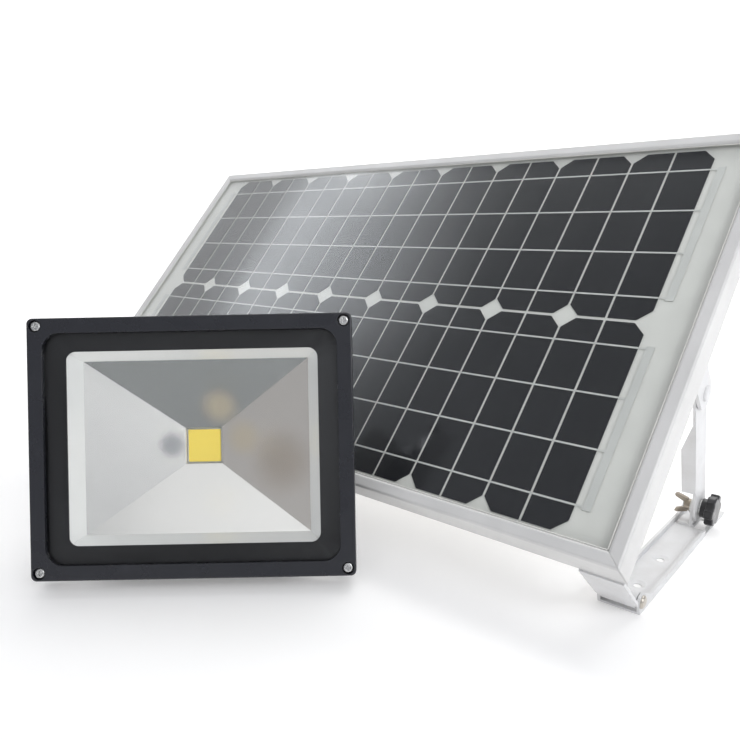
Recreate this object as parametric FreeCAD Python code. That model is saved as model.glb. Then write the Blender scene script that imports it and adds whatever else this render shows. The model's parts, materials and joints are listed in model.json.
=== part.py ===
"""Solar flood light kit: an LED flood light on a yoke, and a solar panel on two folding brackets.

World frame, millimetres: +X to the right along the panel, +Y backwards, +Z up.
The origin is on the floor, at the centre of the four fixing holes of the two base channels.
Panel pieces are built in the panel's own frame: x along its width, y up the slope and z out of
the cells, with the cells' top at z = 0. Lamp pieces are built in the lamp's own frame: x to the
right of the face, y into the lamp from the face, and z up the face.
"""
import FreeCAD, Part
import math
import os

V = FreeCAD.Vector
AX, AY, AZ = V(1, 0, 0), V(0, 1, 0), V(0, 0, 1)

# Solar panel
PANEL_W, PANEL_H = 628.0, 341.0      # outside of the aluminium frame
PANEL_TILT = 45.8                    # slope when the knobs are locked
FRAME_FRONT, FRAME_BACK = 5.0, -20.0 # front lip and rear face, from the cells' top
LIP_W, LEDGE_W, REAR_W = 9.5, 12.0, 25.0
WALL = 1.6
GLASS_Z0, GLASS_Z1 = 0.3, 3.3
STRIPS, ROWS = 18, 2
STRIP_PITCH, STRIP_GAP = 30.66, 1.8
CELL_H, ROW_GAP = 156.75, 2.5
CELL_CORNER = 8.7
BUSBARS = 4

# Folding brackets; side +1 is the right one. X sizes are counted from the panel's right side.
HALF_W = PANEL_W / 2
HOLE_DY = 46.0                       # fixing holes along one channel
PIN_Y, PIN_Z, PIN_R = -55.0, 9.0, 3.0
CHANNEL_IN, CHANNEL_OUT = -30.0, -2.0
CHANNEL_REAR = 138.0
CHANNEL_H, SHEET = 6.0, 2.0
PIN_EAR_R = 5.0                      # rounded front of the channel's flanges, about the hinge pin
HOLE_X = HALF_W + (CHANNEL_IN + CHANNEL_OUT) / 2
HOLE_R = 2.75
STUD_Y, STUD_Z, STUD_R = PIN_Y + 155.0, PIN_Z + 8.0, 3.0
PIVOT_Y, PIVOT_Z = PIN_Y + 113.0, PIN_Z + 113.0
EAR_R = 12.0
KNOB_ROOM_Y = STUD_Y - 16.0           # the channel's outer flange stops here, to let the knob turn
PIN_UP, PIN_OUT = -166.3, -68.0      # the hinge pin in the panel's frame
STRAP_T = 2.5
STRAP_IN, STRAP_OUT = -28.0, -4.0
STRAP_TOP = 70.0
KNUCKLE_R = 5.5
RUN = 0.05                           # running fit, on the radius
STRAP_SCREWS = (-120.0, -70.0, 45.0)

# Flood light
FACE_W, FACE_H = 225.0, 182.0
FACE_X, FACE_Y, FACE_Z = 48.8, -204.5, 98.8
LAMP_TURN, LAMP_LEAN = 41.3, 17.6
PIVOT_DEPTH, PIVOT_DROP = 34.0, 4.0
BEZEL_D = 14.0
OPEN_W, OPEN_H, OPEN_R = 204.0, 161.0, 12.0
LIGHT_W, LIGHT_H, LIGHT_R = 176.0, 136.0, 7.0
BODY_W, BODY_H, BODY_R, BODY_D = 160.0, 150.0, 12.0, 50.0
THROAT_W, THROAT_H, THROAT_D = 188.0, 152.0, 22.5
FIN_D, FIN_T, FIN_PITCH = 58.0, 2.0, 8.0
PACK_W, PACK_H, PACK_D = 110.0, 84.0, 72.0
COVER_T = 3.0
CHIP = 24.0
CHIP_D = 39.6
SCREW_X, SCREW_Z = 106.8, 85.6
ARM_IN, ARM_T = 82.3, 3.0
YOKE_R = 10.0
YOKE_HOLE_X = 45.0


# ---- small helpers ----

def box(x0, x1, y0, y1, z0, z1):
    """A box between two corners, in any order."""
    low = V(min(x0, x1), min(y0, y1), min(z0, z1))
    return Part.makeBox(abs(x1 - x0), abs(y1 - y0), abs(z1 - z0), low)


def rod(axis, radius, start, end, a, b):
    """A cylinder along X, Y or Z from start to end; a and b are the other two coordinates."""
    low, length = min(start, end), abs(end - start)
    base = {"x": V(low, a, b), "y": V(a, low, b), "z": V(a, b, low)}[axis]
    return Part.makeCylinder(radius, length, base, {"x": AX, "y": AY, "z": AZ}[axis])


def prism(points, direction):
    """A straight-sided outline pushed along a vector."""
    ring = [V(*p) for p in points]
    return Part.Face(Part.makePolygon(ring + [ring[0]])).extrude(direction)


def union(pieces):
    """One clean solid made of touching pieces."""
    whole = pieces[0].fuse(pieces[1:]) if len(pieces) > 1 else pieces[0]
    return whole.removeSplitter()


def cut(solid, tools):
    """The solid with the tools taken away."""
    return solid.cut(Part.makeCompound(tools)).removeSplitter()


def soften(solid, radius, chosen):
    """Round the edges that the chosen test picks."""
    edges = [e for e in solid.Edges if chosen(e)]
    return solid.makeFillet(radius, edges)


def along(axis):
    """A test for straight edges that run along one axis."""
    def test(edge):
        ends = edge.Vertexes
        if len(ends) != 2 or edge.Curve.TypeId != "Part::GeomLine":
            return False
        step = ends[1].Point - ends[0].Point
        return abs(abs(step.dot(axis)) - step.Length) < 1e-6
    return test


def hexagon(axis, flats, start, end, a, b):
    """A hexagonal bar along X or Z, given across its flats."""
    radius = flats / math.sqrt(3)
    ring = []
    for i in range(6):
        p, q = radius * math.cos(i * math.pi / 3), radius * math.sin(i * math.pi / 3)
        ring.append((start, a + p, b + q) if axis == "x" else (a + p, b + q, start))
    return prism(ring, (AX if axis == "x" else AZ) * (end - start))


def mirrored(solid, side):
    """The right-hand piece for side 1, and its mirror image for side -1."""
    return solid if side > 0 else solid.mirror(V(0, 0, 0), AX)


def to_panel(shape, angle=PANEL_TILT):
    """From the panel's frame to the world, about the hinge pins."""
    out = shape.copy()
    out.translate(V(0, -PIN_UP, -PIN_OUT))
    out.rotate(V(0, 0, 0), AX, angle)
    out.translate(V(0, PIN_Y, PIN_Z))
    return out


def to_lamp(shape):
    """From the lamp's frame to the world."""
    out = shape.copy()
    out.rotate(V(0, 0, 0), AX, -LAMP_LEAN)
    out.rotate(V(0, 0, 0), AZ, LAMP_TURN)
    out.translate(V(FACE_X, FACE_Y, FACE_Z))
    return out


def plate(width, height, radius, y0, y1, x=0.0, z=0.0):
    """A rounded rectangle across the lamp's face, between two depths."""
    slab = box(x - width / 2, x + width / 2, y0, y1, z - height / 2, z + height / 2)
    return soften(slab, radius, along(AY))


def write(name, pieces):
    """One node: a solid, or a group of separate solids."""
    shape = Part.makeCompound(pieces) if isinstance(pieces, list) else pieces
    shape.exportStep("parts/%s.step" % name)


# ---- base channels and their pins ----

def base_channel():
    """Folded steel channel that lies on the floor, with two countersunk fixing holes."""
    x0, x1 = HALF_W + CHANNEL_IN, HALF_W + CHANNEL_OUT
    front = PIN_Y - PIN_EAR_R
    side = [(x0, PIN_Y - 2, 0), (x0, CHANNEL_REAR, 0), (x0, CHANNEL_REAR, 3),
            (x0, CHANNEL_REAR - 8, CHANNEL_H), (x0, PIN_Y + 20, CHANNEL_H),
            (x0, PIN_Y + 2.4, PIN_Z + 4.3), (x0, PIN_Y, PIN_Z), (x0, front, PIN_Z)]
    body = union([prism(side, AX * (x1 - x0)), rod("x", PIN_EAR_R, x0, x1, PIN_Y, PIN_Z)])
    room = box(x0 + SHEET, x1 - SHEET, front - 1, CHANNEL_REAR + 1, SHEET, PIN_Z + PIN_EAR_R + 1)
    window = box(HALF_W - 13.5, HALF_W - 5.5, STUD_Y - 9, STUD_Y + 13, -1, SHEET + 1)
    window = soften(window, 1.5, along(AZ))
    knob_room = box(x1 - SHEET, x1 + 1, KNOB_ROOM_Y, CHANNEL_REAR + 1, SHEET, CHANNEL_H + 1)
    holes = [room, window, knob_room, rod("x", PIN_R, x0 - 1, x1 + 1, PIN_Y, PIN_Z)]
    for y in (-HOLE_DY / 2, HOLE_DY / 2):
        holes.append(rod("z", HOLE_R, -1, SHEET + 1, HOLE_X, y))
        holes.append(Part.makeCone(HOLE_R, HOLE_R + 3.0, 1.2, V(HOLE_X, y, SHEET - 1.2), AZ))
    return cut(body, holes)


def strut_lug():
    """Upright ear welded to the channel; its slot is open at the back to let the stud go."""
    x0, x1 = HALF_W - 17.0, HALF_W - 14.5
    half, top = 9.0, STUD_Z + 3.0
    ear = box(x0, x1, STUD_Y - half, STUD_Y + half, SHEET, top)
    foot = soften(box(x0 - 9, x0, STUD_Y - half, STUD_Y + half, SHEET, SHEET + 2), 2.5,
                  lambda e: along(AZ)(e) and e.BoundBox.XMax < x0 - 8)
    slot_r = STUD_R + 0.4
    mouth = [(x0 - 1, STUD_Y, STUD_Z + slot_r), (x0 - 1, STUD_Y + 14, STUD_Z + slot_r + 0.5),
             (x0 - 1, STUD_Y + 14, STUD_Z - slot_r - 2.5), (x0 - 1, STUD_Y, STUD_Z - slot_r)]
    whole = union([ear, foot, rod("x", half, x0, x1, STUD_Y, top)])
    return cut(whole, [rod("x", slot_r, x0 - 1, x1 + 1, STUD_Y, STUD_Z), prism(mouth, AX * 5)])


def hinge_pin():
    """Riveted pin with a domed head on its outer end."""
    x0, x1 = HALF_W + CHANNEL_IN, HALF_W + CHANNEL_OUT
    shank = rod("x", PIN_R, x0 - 1.2, x1 + 0.6, PIN_Y, PIN_Z)
    head = rod("x", 4.5, x1, x1 + 1.8, PIN_Y, PIN_Z)
    tail = rod("x", 4.0, x0 - 1.2, x0, PIN_Y, PIN_Z)
    outer = [e for e in head.Edges if e.BoundBox.XMin > x1 + 1.7]
    return union([shank, head.makeFillet(1.5, outer), tail])


# ---- panel ----

def rail_section(length):
    """One straight frame rail along X; y counts inwards from its outer face."""
    half = length / 2
    lip = prism([(-half, 0, 3.4), (-half, 0, 3.8), (-half, 1.2, FRAME_FRONT),
                 (-half, LIP_W - 1.6, FRAME_FRONT), (-half, LIP_W, 3.6), (-half, LIP_W, 3.4)], AX * length)
    walls = [lip,
             box(-half, half, 0, 1.8, FRAME_BACK, 3.4),
             box(-half, half, 1.8, LEDGE_W, -2.8, -1.2),
             box(-half, half, LEDGE_W - WALL, LEDGE_W, -13, -2.8),
             box(-half, half, 1.8, LEDGE_W, -13, -13 + WALL),
             box(-half, half, 1.8, REAR_W, FRAME_BACK, FRAME_BACK + WALL)]
    return union(walls)


def frame_rail(which):
    """A rail mitred at both ends, on one side of the panel."""
    long_side = which in ("top", "bottom")
    length, across = (PANEL_W, PANEL_H) if long_side else (PANEL_H, PANEL_W)
    half, deep = length / 2, REAR_W + 2
    rail = rail_section(length)
    mitre = prism([(-half, 0, -30), (half, 0, -30), (half - deep, deep, -30),
                   (-half + deep, deep, -30)], AZ * 50)
    rail = rail.common(mitre)
    rail.translate(V(0, -across / 2, 0))
    rail.rotate(V(0, 0, 0), AZ, {"bottom": 0, "right": 90, "top": 180, "left": 270}[which])
    return rail


def corner_keys():
    """Pressed angle pieces in the rails' hollow chambers, which hold the corners together."""
    keys = []
    gap = 0.4
    for sx in (-1, 1):
        for sy in (-1, 1):
            corner_x, corner_y = sx * PANEL_W / 2, sy * PANEL_H / 2
            near, far, reach = 1.8 + gap, LEDGE_W - WALL - gap, 42.0
            arm_a = box(corner_x - sx * near, corner_x - sx * reach,
                        corner_y - sy * near, corner_y - sy * far, -11.0, -3.2)
            arm_b = box(corner_x - sx * near, corner_x - sx * far,
                        corner_y - sy * near, corner_y - sy * reach, -11.0, -3.2)
            keys.append(union([arm_a, arm_b]))
    return keys


def sheet(inset, z0, z1):
    """A flat layer of the laminate."""
    x, y = PANEL_W / 2 - inset, PANEL_H / 2 - inset
    return box(-x, x, -y, y, z0, z1)


def cell_strip(x0, y0, corners_left):
    """One cut cell; two of its corners are chamfered, on the side that was the wafer's edge."""
    w, h, c = STRIP_PITCH - STRIP_GAP, CELL_H, CELL_CORNER
    outline = [(0, c), (c, 0), (w, 0), (w, h), (c, h), (0, h - c)]
    if not corners_left:
        outline = [(w - x, y) for x, y in outline]
    return prism([(x0 + x, y0 + y, -0.3) for x, y in outline], AZ * 0.3)


def row_bottoms():
    """The lower edge of each row of cells."""
    first = -(ROWS * CELL_H + (ROWS - 1) * ROW_GAP) / 2
    return [first + i * (CELL_H + ROW_GAP) for i in range(ROWS)]


def solar_cells():
    """Two rows of strips, in mirrored pairs."""
    left = -STRIPS * STRIP_PITCH / 2 + STRIP_GAP / 2
    return [cell_strip(left + i * STRIP_PITCH, y, i % 2 == 0)
            for y in row_bottoms() for i in range(STRIPS)]


def cell_ribbons():
    """Four flat ribbons across each row, soldered on the cells."""
    half = STRIPS * STRIP_PITCH / 2 + 4
    ribbons = []
    for y in row_bottoms():
        for i in range(BUSBARS):
            mid = y + CELL_H * (2 * i + 1) / (2 * BUSBARS)
            ribbons.append(box(-half, half, mid - 0.65, mid + 0.65, 0, 0.12))
    return ribbons


def end_ribbons():
    """The wide ribbons that join the busbars at both ends of each row."""
    near = STRIPS * STRIP_PITCH / 2 + 4
    reach = CELL_H * (BUSBARS - 0.5) / BUSBARS / 2 - CELL_H / (4 * BUSBARS) + 2
    ribbons = []
    for y in row_bottoms():
        mid = y + CELL_H / 2
        for side in (-1, 1):
            ribbons.append(box(side * near, side * (near + 5.5), mid - reach, mid + reach, -0.3, 0.12))
    return ribbons


BOX_Y, BOX_W, BOX_H = 95.0, 96.0, 66.0
OUTLET_Y = BOX_Y - 18.0


def junction_box():
    """Open tray glued to the backsheet."""
    outer = soften(box(-BOX_W / 2, BOX_W / 2, BOX_Y - BOX_H / 2, BOX_Y + BOX_H / 2, -16, -1.1),
                   4.0, along(AZ))
    room = box(-BOX_W / 2 + 2, BOX_W / 2 - 2, BOX_Y - BOX_H / 2 + 2, BOX_Y + BOX_H / 2 - 2, -17, -3.1)
    return cut(outer, [room])


def junction_box_lid():
    """Snap-on lid with two ribs and the hole for the cable gland."""
    lid = soften(box(-BOX_W / 2, BOX_W / 2, BOX_Y - BOX_H / 2, BOX_Y + BOX_H / 2, -18, -16.1),
                 4.0, along(AZ))
    ribs = [box(-30, 30, BOX_Y + up - 1.5, BOX_Y + up + 1.5, -18.8, -18) for up in (4, 16)]
    return cut(union([lid] + ribs), [rod("z", 4.0, -20, -15, 0, OUTLET_Y)])


def junction_box_gland():
    """Screwed gland with an open bore for the lead, pointing backwards."""
    body = union([rod("z", 4.0, -18.0, -14.5, 0, OUTLET_Y), rod("z", 6.5, -23.5, -18.0, 0, OUTLET_Y),
                  rod("z", 5.3, -29.0, -23.5, 0, OUTLET_Y)])
    return cut(body, [rod("z", 2.4, -30.0, -14.0, 0, OUTLET_Y)])


def bypass_diodes():
    """Two diodes that bridge the rows, on their solder bar."""
    return [union([rod("x", 2.5, x - 4.5, x + 4.5, BOX_Y + 6, -7.0),
                   rod("x", 0.6, x - 11, x + 11, BOX_Y + 6, -7.0)]) for x in (-22, 22)]


# ---- brackets between panel and base ----

def top_bracket():
    """Steel strap along the panel's back, with a hinge knuckle below and an ear for the strut."""
    x0, x1 = HALF_W + STRAP_IN, HALF_W + STRAP_OUT
    back = FRAME_BACK - STRAP_T
    foot = PIN_UP - KNUCKLE_R
    tongue = box(x0 + 0.5, x1 - 0.5, foot, foot + STRAP_T, PIN_OUT, FRAME_BACK)
    apron = box(HALF_W + CHANNEL_IN, HALF_W + CHANNEL_OUT, foot, foot + STRAP_T, PIN_OUT + 4.6, FRAME_BACK)
    apron = soften(apron, 2.5, lambda e: along(AY)(e) and e.BoundBox.ZMax < PIN_OUT + 5)
    strap = box(x0, x1, foot, STRAP_TOP, back, FRAME_BACK)
    knuckle = rod("x", KNUCKLE_R, x0 + 0.5, x1 - 0.5, PIN_UP, PIN_OUT)
    ear_y, ear_z = pivot_in_panel()
    ear = box(HALF_W - 11.5, HALF_W - 9.0, ear_y - EAR_R, ear_y + EAR_R, ear_z, back)
    tip = rod("x", EAR_R, HALF_W - 11.5, HALF_W - 9.0, ear_y, ear_z)
    whole = union([strap, tongue, apron, knuckle, ear, tip])
    bores = [rod("x", PIN_R + RUN, x0 - 1, x1 + 1, PIN_UP, PIN_OUT),
             rod("x", STUD_R, HALF_W - 14, HALF_W - 6, ear_y, ear_z)]
    for y in STRAP_SCREWS:
        bores.append(rod("z", 2.6, back - 1, FRAME_BACK + 1, (x0 + x1) / 2, y))
    return cut(whole, bores)


def pivot_in_panel():
    """The strut's upper pivot in the panel's frame."""
    dy, dz = PIVOT_Y - PIN_Y, PIVOT_Z - PIN_Z
    c, s = math.cos(math.radians(PANEL_TILT)), math.sin(math.radians(PANEL_TILT))
    return PIN_UP + dy * c + dz * s, PIN_OUT - dy * s + dz * c


def bracket_screws():
    """Screws from the straps into the frame's rear flanges."""
    screws = []
    for side in (-1, 1):
        x = side * (HALF_W + (STRAP_IN + STRAP_OUT) / 2)
        for y in STRAP_SCREWS:
            head = rod("z", 4.6, -25.0, FRAME_BACK - STRAP_T, x, y)
            low = [e for e in head.Edges if e.BoundBox.ZMax < -24.9]
            shank = rod("z", 2.5, FRAME_BACK - STRAP_T, -13.5, x, y)
            recess = hexagon("z", 3.0, -26.0, -23.6, x, y)
            screws.append(cut(union([head.makeFillet(1.2, low), shank]), [recess]))
    return screws


def bracket_nuts():
    """Nuts on those screws, inside the frame."""
    nuts = []
    for side in (-1, 1):
        x = side * (HALF_W + (STRAP_IN + STRAP_OUT) / 2)
        for y in STRAP_SCREWS:
            nut = hexagon("z", 8.0, FRAME_BACK + WALL, FRAME_BACK + WALL + 3.8, x, y)
            nuts.append(cut(nut, [rod("z", 2.5, -30, 0, x, y)]))
    return nuts


def drill_frame(rail):
    """The screws' clearance holes through a side rail's rear flange."""
    holes = []
    for side in (-1, 1):
        for y in STRAP_SCREWS:
            x = side * (HALF_W + (STRAP_IN + STRAP_OUT) / 2)
            holes.append(rod("z", 2.6, FRAME_BACK - 1, FRAME_BACK + WALL + 1, x, y))
    return cut(rail, holes)


def strut_pivot_pin():
    """Rivet through the strap's ear and the strut."""
    out = HALF_W - 9.0
    shank = rod("x", STUD_R, out - 5.1, out, PIVOT_Y, PIVOT_Z)
    outer = rod("x", 6.0, out, out + 2.0, PIVOT_Y, PIVOT_Z)
    rim = [e for e in outer.Edges if e.BoundBox.XMin > out + 1.9]
    inner = rod("x", 5.5, out - 7.0, out - 5.1, PIVOT_Y, PIVOT_Z)
    return union([shank, outer.makeFillet(1.7, rim), inner])


def strut():
    """Folded strut between the strap's ear and the lug, with a stiffening flange on each edge."""
    x0, x1 = HALF_W - 14.0, HALF_W - 12.0
    length = math.hypot(PIVOT_Y - STUD_Y, PIVOT_Z - STUD_Z)
    lean = math.degrees(math.atan2(STUD_Y - PIVOT_Y, PIVOT_Z - STUD_Z))
    web = union([box(x0, x1, -EAR_R, EAR_R, -length, 0),
                 rod("x", EAR_R, x0, x1, 0, 0), rod("x", EAR_R, x0, x1, 0, -length)])
    flanges = []
    for y, low in ((-EAR_R, 24.0), (EAR_R - 1.8, 17.0)):
        inner = x0 - 8.5
        flange = prism([(x1, y, -16), (inner, y, -46), (inner, y, -length + low),
                        (x1, y, -length + low)], AY * 1.8)
        flanges.append(flange)
    whole = union([web] + flanges)
    whole = cut(whole, [rod("x", STUD_R + RUN, x0 - 1, x1 + 1, 0, 0),
                        rod("x", STUD_R + RUN, x0 - 1, x1 + 1, 0, -length)])
    whole.rotate(V(0, 0, 0), AX, lean)
    whole.translate(V(0, PIVOT_Y, PIVOT_Z))
    return whole


def knob():
    """Star knob with a round hub and six lobes."""
    x0 = HALF_W - 10.5
    hub_end, end = HALF_W - 6.4, HALF_W + 0.4
    hub = rod("x", 8.0, x0, hub_end, STUD_Y, STUD_Z)
    head = rod("x", 12.9, hub_end, end, STUD_Y, STUD_Z)
    bites = []
    for i in range(6):
        turn = math.radians(60 * i + 30)
        bites.append(rod("x", 4.2, hub_end - 1, end + 1,
                         STUD_Y + 14.8 * math.cos(turn), STUD_Z + 14.8 * math.sin(turn)))
    head = cut(head, bites)
    rims = [e for e in head.Edges if e.BoundBox.XMin > end - 0.1 or e.BoundBox.XMax < hub_end + 0.1]
    head = head.makeFillet(1.3, rims)
    return cut(union([hub, head]), [rod("x", STUD_R, x0 - 1, HALF_W - 3, STUD_Y, STUD_Z)])


def knob_stud():
    """Threaded stud moulded into the knob."""
    return rod("x", STUD_R, HALF_W - 25.0, HALF_W - 3.0, STUD_Y, STUD_Z)


def washer(start, end, radius):
    """A flat washer on the stud."""
    ring = rod("x", radius, start, end, STUD_Y, STUD_Z)
    return cut(ring, [rod("x", STUD_R + RUN, start - 1, end + 1, STUD_Y, STUD_Z)])


def wing_nut():
    """Wing nut on the stud's inner end."""
    x1 = HALF_W - 18.75
    body = Part.makeCone(4.4, 5.4, 5.0, V(x1 - 5.0, STUD_Y, STUD_Z), AX)
    wings = []
    for side in (-1, 1):
        outline = [(x1 - 1.2, -1.3, side * 2.1), (x1 - 4.6, -1.3, side * 2.1),
                   (x1 - 12.2, -1.3, side * 6.0), (x1 - 13.2, -1.3, side * 8.3),
                   (x1 - 11.0, -1.3, side * 9.0), (x1 - 3.0, -1.3, side * 6.2)]
        wing = prism(outline, AY * 2.6)
        tips = [e for e in wing.Edges if min(abs(e.BoundBox.ZMin), abs(e.BoundBox.ZMax)) > 8
                and along(AY)(e)]
        wings.append(wing.makeFillet(0.8, tips))
    for wing in wings:
        wing.rotate(V(0, 0, 0), AX, 12)
        wing.translate(V(0, STUD_Y, STUD_Z))
    bore = rod("x", STUD_R + RUN, x1 - 14, x1 + 1, STUD_Y, STUD_Z)
    return cut(union([body] + wings), [bore])


# ---- flood light head ----

def front_bezel():
    """Die-cast front frame with a stepped window and four screw pockets."""
    outer = plate(FACE_W, FACE_H, 4.0, 0, BEZEL_D)
    outer = soften(outer, 0.8, lambda e: e.BoundBox.YMax < 0.1)
    window = plate(OPEN_W, OPEN_H, OPEN_R, -1, 5)
    room = plate(211.0, 168.0, 14.0, 3.2, BEZEL_D + 1)
    tools = [window, room]
    for x, z in screw_places():
        tools.append(rod("y", 4.2, -1, 3.4, x, z))
        tools.append(rod("y", 2.1, -1, BEZEL_D + 1, x, z))
    return cut(outer, tools)


def screw_places():
    """The four corner screws of the bezel."""
    return [(sx * SCREW_X, sz * SCREW_Z) for sx in (-1, 1) for sz in (-1, 1)]


def bezel_screws():
    """Pan-head screws with a cross recess."""
    screws = []
    for x, z in screw_places():
        head = rod("y", 3.7, 1.0, 3.4, x, z)
        head = head.makeFillet(1.3, [e for e in head.Edges if e.BoundBox.YMax < 1.1])
        shank = rod("y", 2.0, 3.4, 22.0, x, z)
        cross = [box(x - 2.0, x + 2.0, 0, 2.4, z - 0.45, z + 0.45),
                 box(x - 0.45, x + 0.45, 0, 2.4, z - 2.0, z + 2.0)]
        screws.append(cut(union([head, shank]), cross))
    return screws


def front_glass():
    """Toughened glass behind the bezel's lip."""
    return plate(210.0, 167.0, 13.5, 3.3, 7.3)


def glass_mask():
    """Dark printed border on the back of the glass."""
    ring = plate(210.0, 167.0, 13.5, 7.3, 7.5)
    return cut(ring, [plate(LIGHT_W, LIGHT_H, LIGHT_R, 7, 8)])


def glass_gasket():
    """Flat rubber seal between glass and housing."""
    ring = plate(209.0, 166.0, 13.0, 7.5, BEZEL_D)
    return cut(ring, [plate(197.0, 154.0, 9.0, 7, BEZEL_D + 1)])


def square_loop(width, height, y):
    """A closed rectangular wire across the lamp at one depth."""
    a, b = width / 2, height / 2
    return Part.makePolygon([V(-a, y, -b), V(a, y, -b), V(a, y, b), V(-a, y, b), V(-a, y, -b)])


def reflector():
    """Pressed aluminium dish: rim, steep walls, four flat facets and a square neck."""
    t = 0.8
    rim = cut(plate(194.0, 151.0, 8.0, 8.2, 9.0), [plate(LIGHT_W, LIGHT_H, 5.0, 8, 10)])
    steps = [(LIGHT_W, LIGHT_H, 8.2), (160.5, 124.0, 18.0), (27.0, 27.0, 37.0),
             (26.4, 26.4, CHIP_D - 0.4)]
    outside, inside = [], []
    for (w0, h0, y0), (w1, h1, y1) in zip(steps, steps[1:]):
        wide = [square_loop(w0 + 2 * t, h0 + 2 * t, y0), square_loop(w1 + 2 * t, h1 + 2 * t, y1)]
        thin = [square_loop(w0, h0, y0), square_loop(w1, h1, y1)]
        outside.append(Part.makeLoft(wide, True, True))
        inside.append(Part.makeLoft(thin, True, True))
    shell = cut(union(outside + [rim]), inside)
    return shell


def led_chip():
    """Yellow phosphor field of the chip-on-board LED."""
    return plate(CHIP, CHIP, 0.8, CHIP_D, CHIP_D + 0.8)


def led_board():
    """Aluminium carrier of the LED, with two corner holes."""
    board = box(-21, 21, CHIP_D + 0.8, CHIP_D + 2.4, -21, 21)
    return cut(board, [rod("y", 1.6, CHIP_D, CHIP_D + 4, s * 17.5, s * 17.5) for s in (-1, 1)])


def led_board_screws():
    """Two screws that press the LED board on its pedestal."""
    top = CHIP_D + 0.8
    return [union([rod("y", 2.8, top - 1.6, top, s * 17.5, s * 17.5),
                   rod("y", 1.5, top, top + 6, s * 17.5, s * 17.5)]) for s in (-1, 1)]


def thermal_pad():
    """Soft heat-conducting pad under the LED board."""
    pad = box(-20, 20, CHIP_D + 2.4, CHIP_D + 2.9, -20, 20)
    return cut(pad, [rod("y", 1.6, CHIP_D, CHIP_D + 4, s * 17.5, s * 17.5) for s in (-1, 1)])


def lamp_housing():
    """Die-cast rear body: flange, stepped walls, fins, pivot bosses and the open battery box."""
    flange = plate(221.0, 178.0, 4.0, BEZEL_D, BEZEL_D + 4)
    throat = plate(THROAT_W, THROAT_H, 10.0, BEZEL_D, THROAT_D)
    body = plate(BODY_W, BODY_H, BODY_R, BEZEL_D, BODY_D)
    tray = plate(PACK_W, PACK_H, 6.0, BODY_D, PACK_D)
    bosses = [rod("x", 10.0, s * (BODY_W / 2 - 1), s * (BODY_W / 2 + 2), PIVOT_DEPTH, -PIVOT_DROP)
              for s in (-1, 1)]
    ears = [rod("y", 5.0, BEZEL_D, 23.5, x, z) for x, z in screw_places()]
    shell = union([flange, throat, body, tray] + bosses + ears + cooling_fins())
    room = plate(BODY_W - 8, BODY_H - 8, BODY_R - 4, BEZEL_D - 1, BODY_D - 4)
    wide_room = plate(THROAT_W - 8, THROAT_H - 8, 8.0, BEZEL_D - 1, THROAT_D - 1.7)
    pedestal = plate(50.0, 50.0, 3.0, CHIP_D + 2.9, BODY_D - 3)
    hollow = cut(room, [pedestal])
    pack_room = plate(PACK_W - 5, PACK_H - 5, 3.5, BODY_D, PACK_D + 1)
    tools = [hollow, wide_room, pack_room]
    tools += [rod("y", 2.0, BEZEL_D - 1, 22.0, x, z) for x, z in screw_places()]
    tools += [rod("y", 1.5, CHIP_D, CHIP_D + 6.8, s * 17.5, s * 17.5) for s in (-1, 1)]
    tools += [rod("y", 1.5, PACK_D - 9, PACK_D + 1, x, z) for x, z in cover_places()]
    tools += [rod("x", 4.0, s * (BODY_W / 2 - 12), s * (BODY_W / 2 + 3), PIVOT_DEPTH, -PIVOT_DROP)
              for s in (-1, 1)]
    posts = [cut(rod("y", 3.6, BODY_D, PACK_D, x, z), [rod("y", 1.5, PACK_D - 9, PACK_D + 1, x, z)])
             for x, z in cover_places()]
    pads = [cut(rod("x", 9.0, s * (BODY_W / 2 - 12), s * (BODY_W / 2 - 1), PIVOT_DEPTH, -PIVOT_DROP),
                [rod("x", 4.0, s * (BODY_W / 2 - 13), s * BODY_W / 2, PIVOT_DEPTH, -PIVOT_DROP)])
            for s in (-1, 1)]
    return union([cut(shell, tools)] + posts + pads)


def cooling_fins():
    """Upright fins on the back, shorter above and below the battery box."""
    fins = []
    half_box, half_high = PACK_W / 2, BODY_H / 2 - 4
    count = int((BODY_W / 2 - 6) // FIN_PITCH)
    for i in range(-count, count + 1):
        x = i * FIN_PITCH
        if abs(x) > half_box + FIN_T:
            fins.append(box(x - FIN_T / 2, x + FIN_T / 2, BODY_D - 0.5, FIN_D, -half_high, half_high))
            continue
        for s in (-1, 1):
            fins.append(box(x - FIN_T / 2, x + FIN_T / 2, BODY_D - 0.5, FIN_D,
                            s * (PACK_H / 2 - 0.5), s * half_high))
    return fins


def cover_places():
    """The rear cover's four screws."""
    return [(sx * (PACK_W / 2 - 6), sz * (PACK_H / 2 - 6)) for sx in (-1, 1) for sz in (-1, 1)]


SWITCH_X, GLAND_X, REAR_Z = 24.0, -24.0, -26.0


def rear_cover():
    """Lid of the battery box, with the switch opening and the inlet hole."""
    lid = plate(PACK_W, PACK_H, 6.0, PACK_D + 0.8, PACK_D + 0.8 + COVER_T)
    far = PACK_D + 0.8 + COVER_T
    lid = soften(lid, 1.2, lambda e: e.BoundBox.YMin > far - 0.1)
    tools = [rod("y", 6.8, PACK_D, far + 1, SWITCH_X, REAR_Z), rod("y", 5.0, PACK_D, far + 1, GLAND_X, REAR_Z)]
    tools += [rod("y", 1.7, PACK_D, far + 1, x, z) for x, z in cover_places()]
    return cut(lid, tools)


def rear_gasket():
    """Seal between the battery box and its lid."""
    ring = plate(PACK_W, PACK_H, 6.0, PACK_D, PACK_D + 0.8)
    room = plate(PACK_W - 5, PACK_H - 5, 3.5, PACK_D - 1, PACK_D + 2)
    posts = [rod("y", 3.6, PACK_D, PACK_D + 0.8, x, z) for x, z in cover_places()]
    whole = union([cut(ring, [room])] + posts)
    return cut(whole, [rod("y", 1.7, PACK_D - 1, PACK_D + 2, x, z) for x, z in cover_places()])


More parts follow.
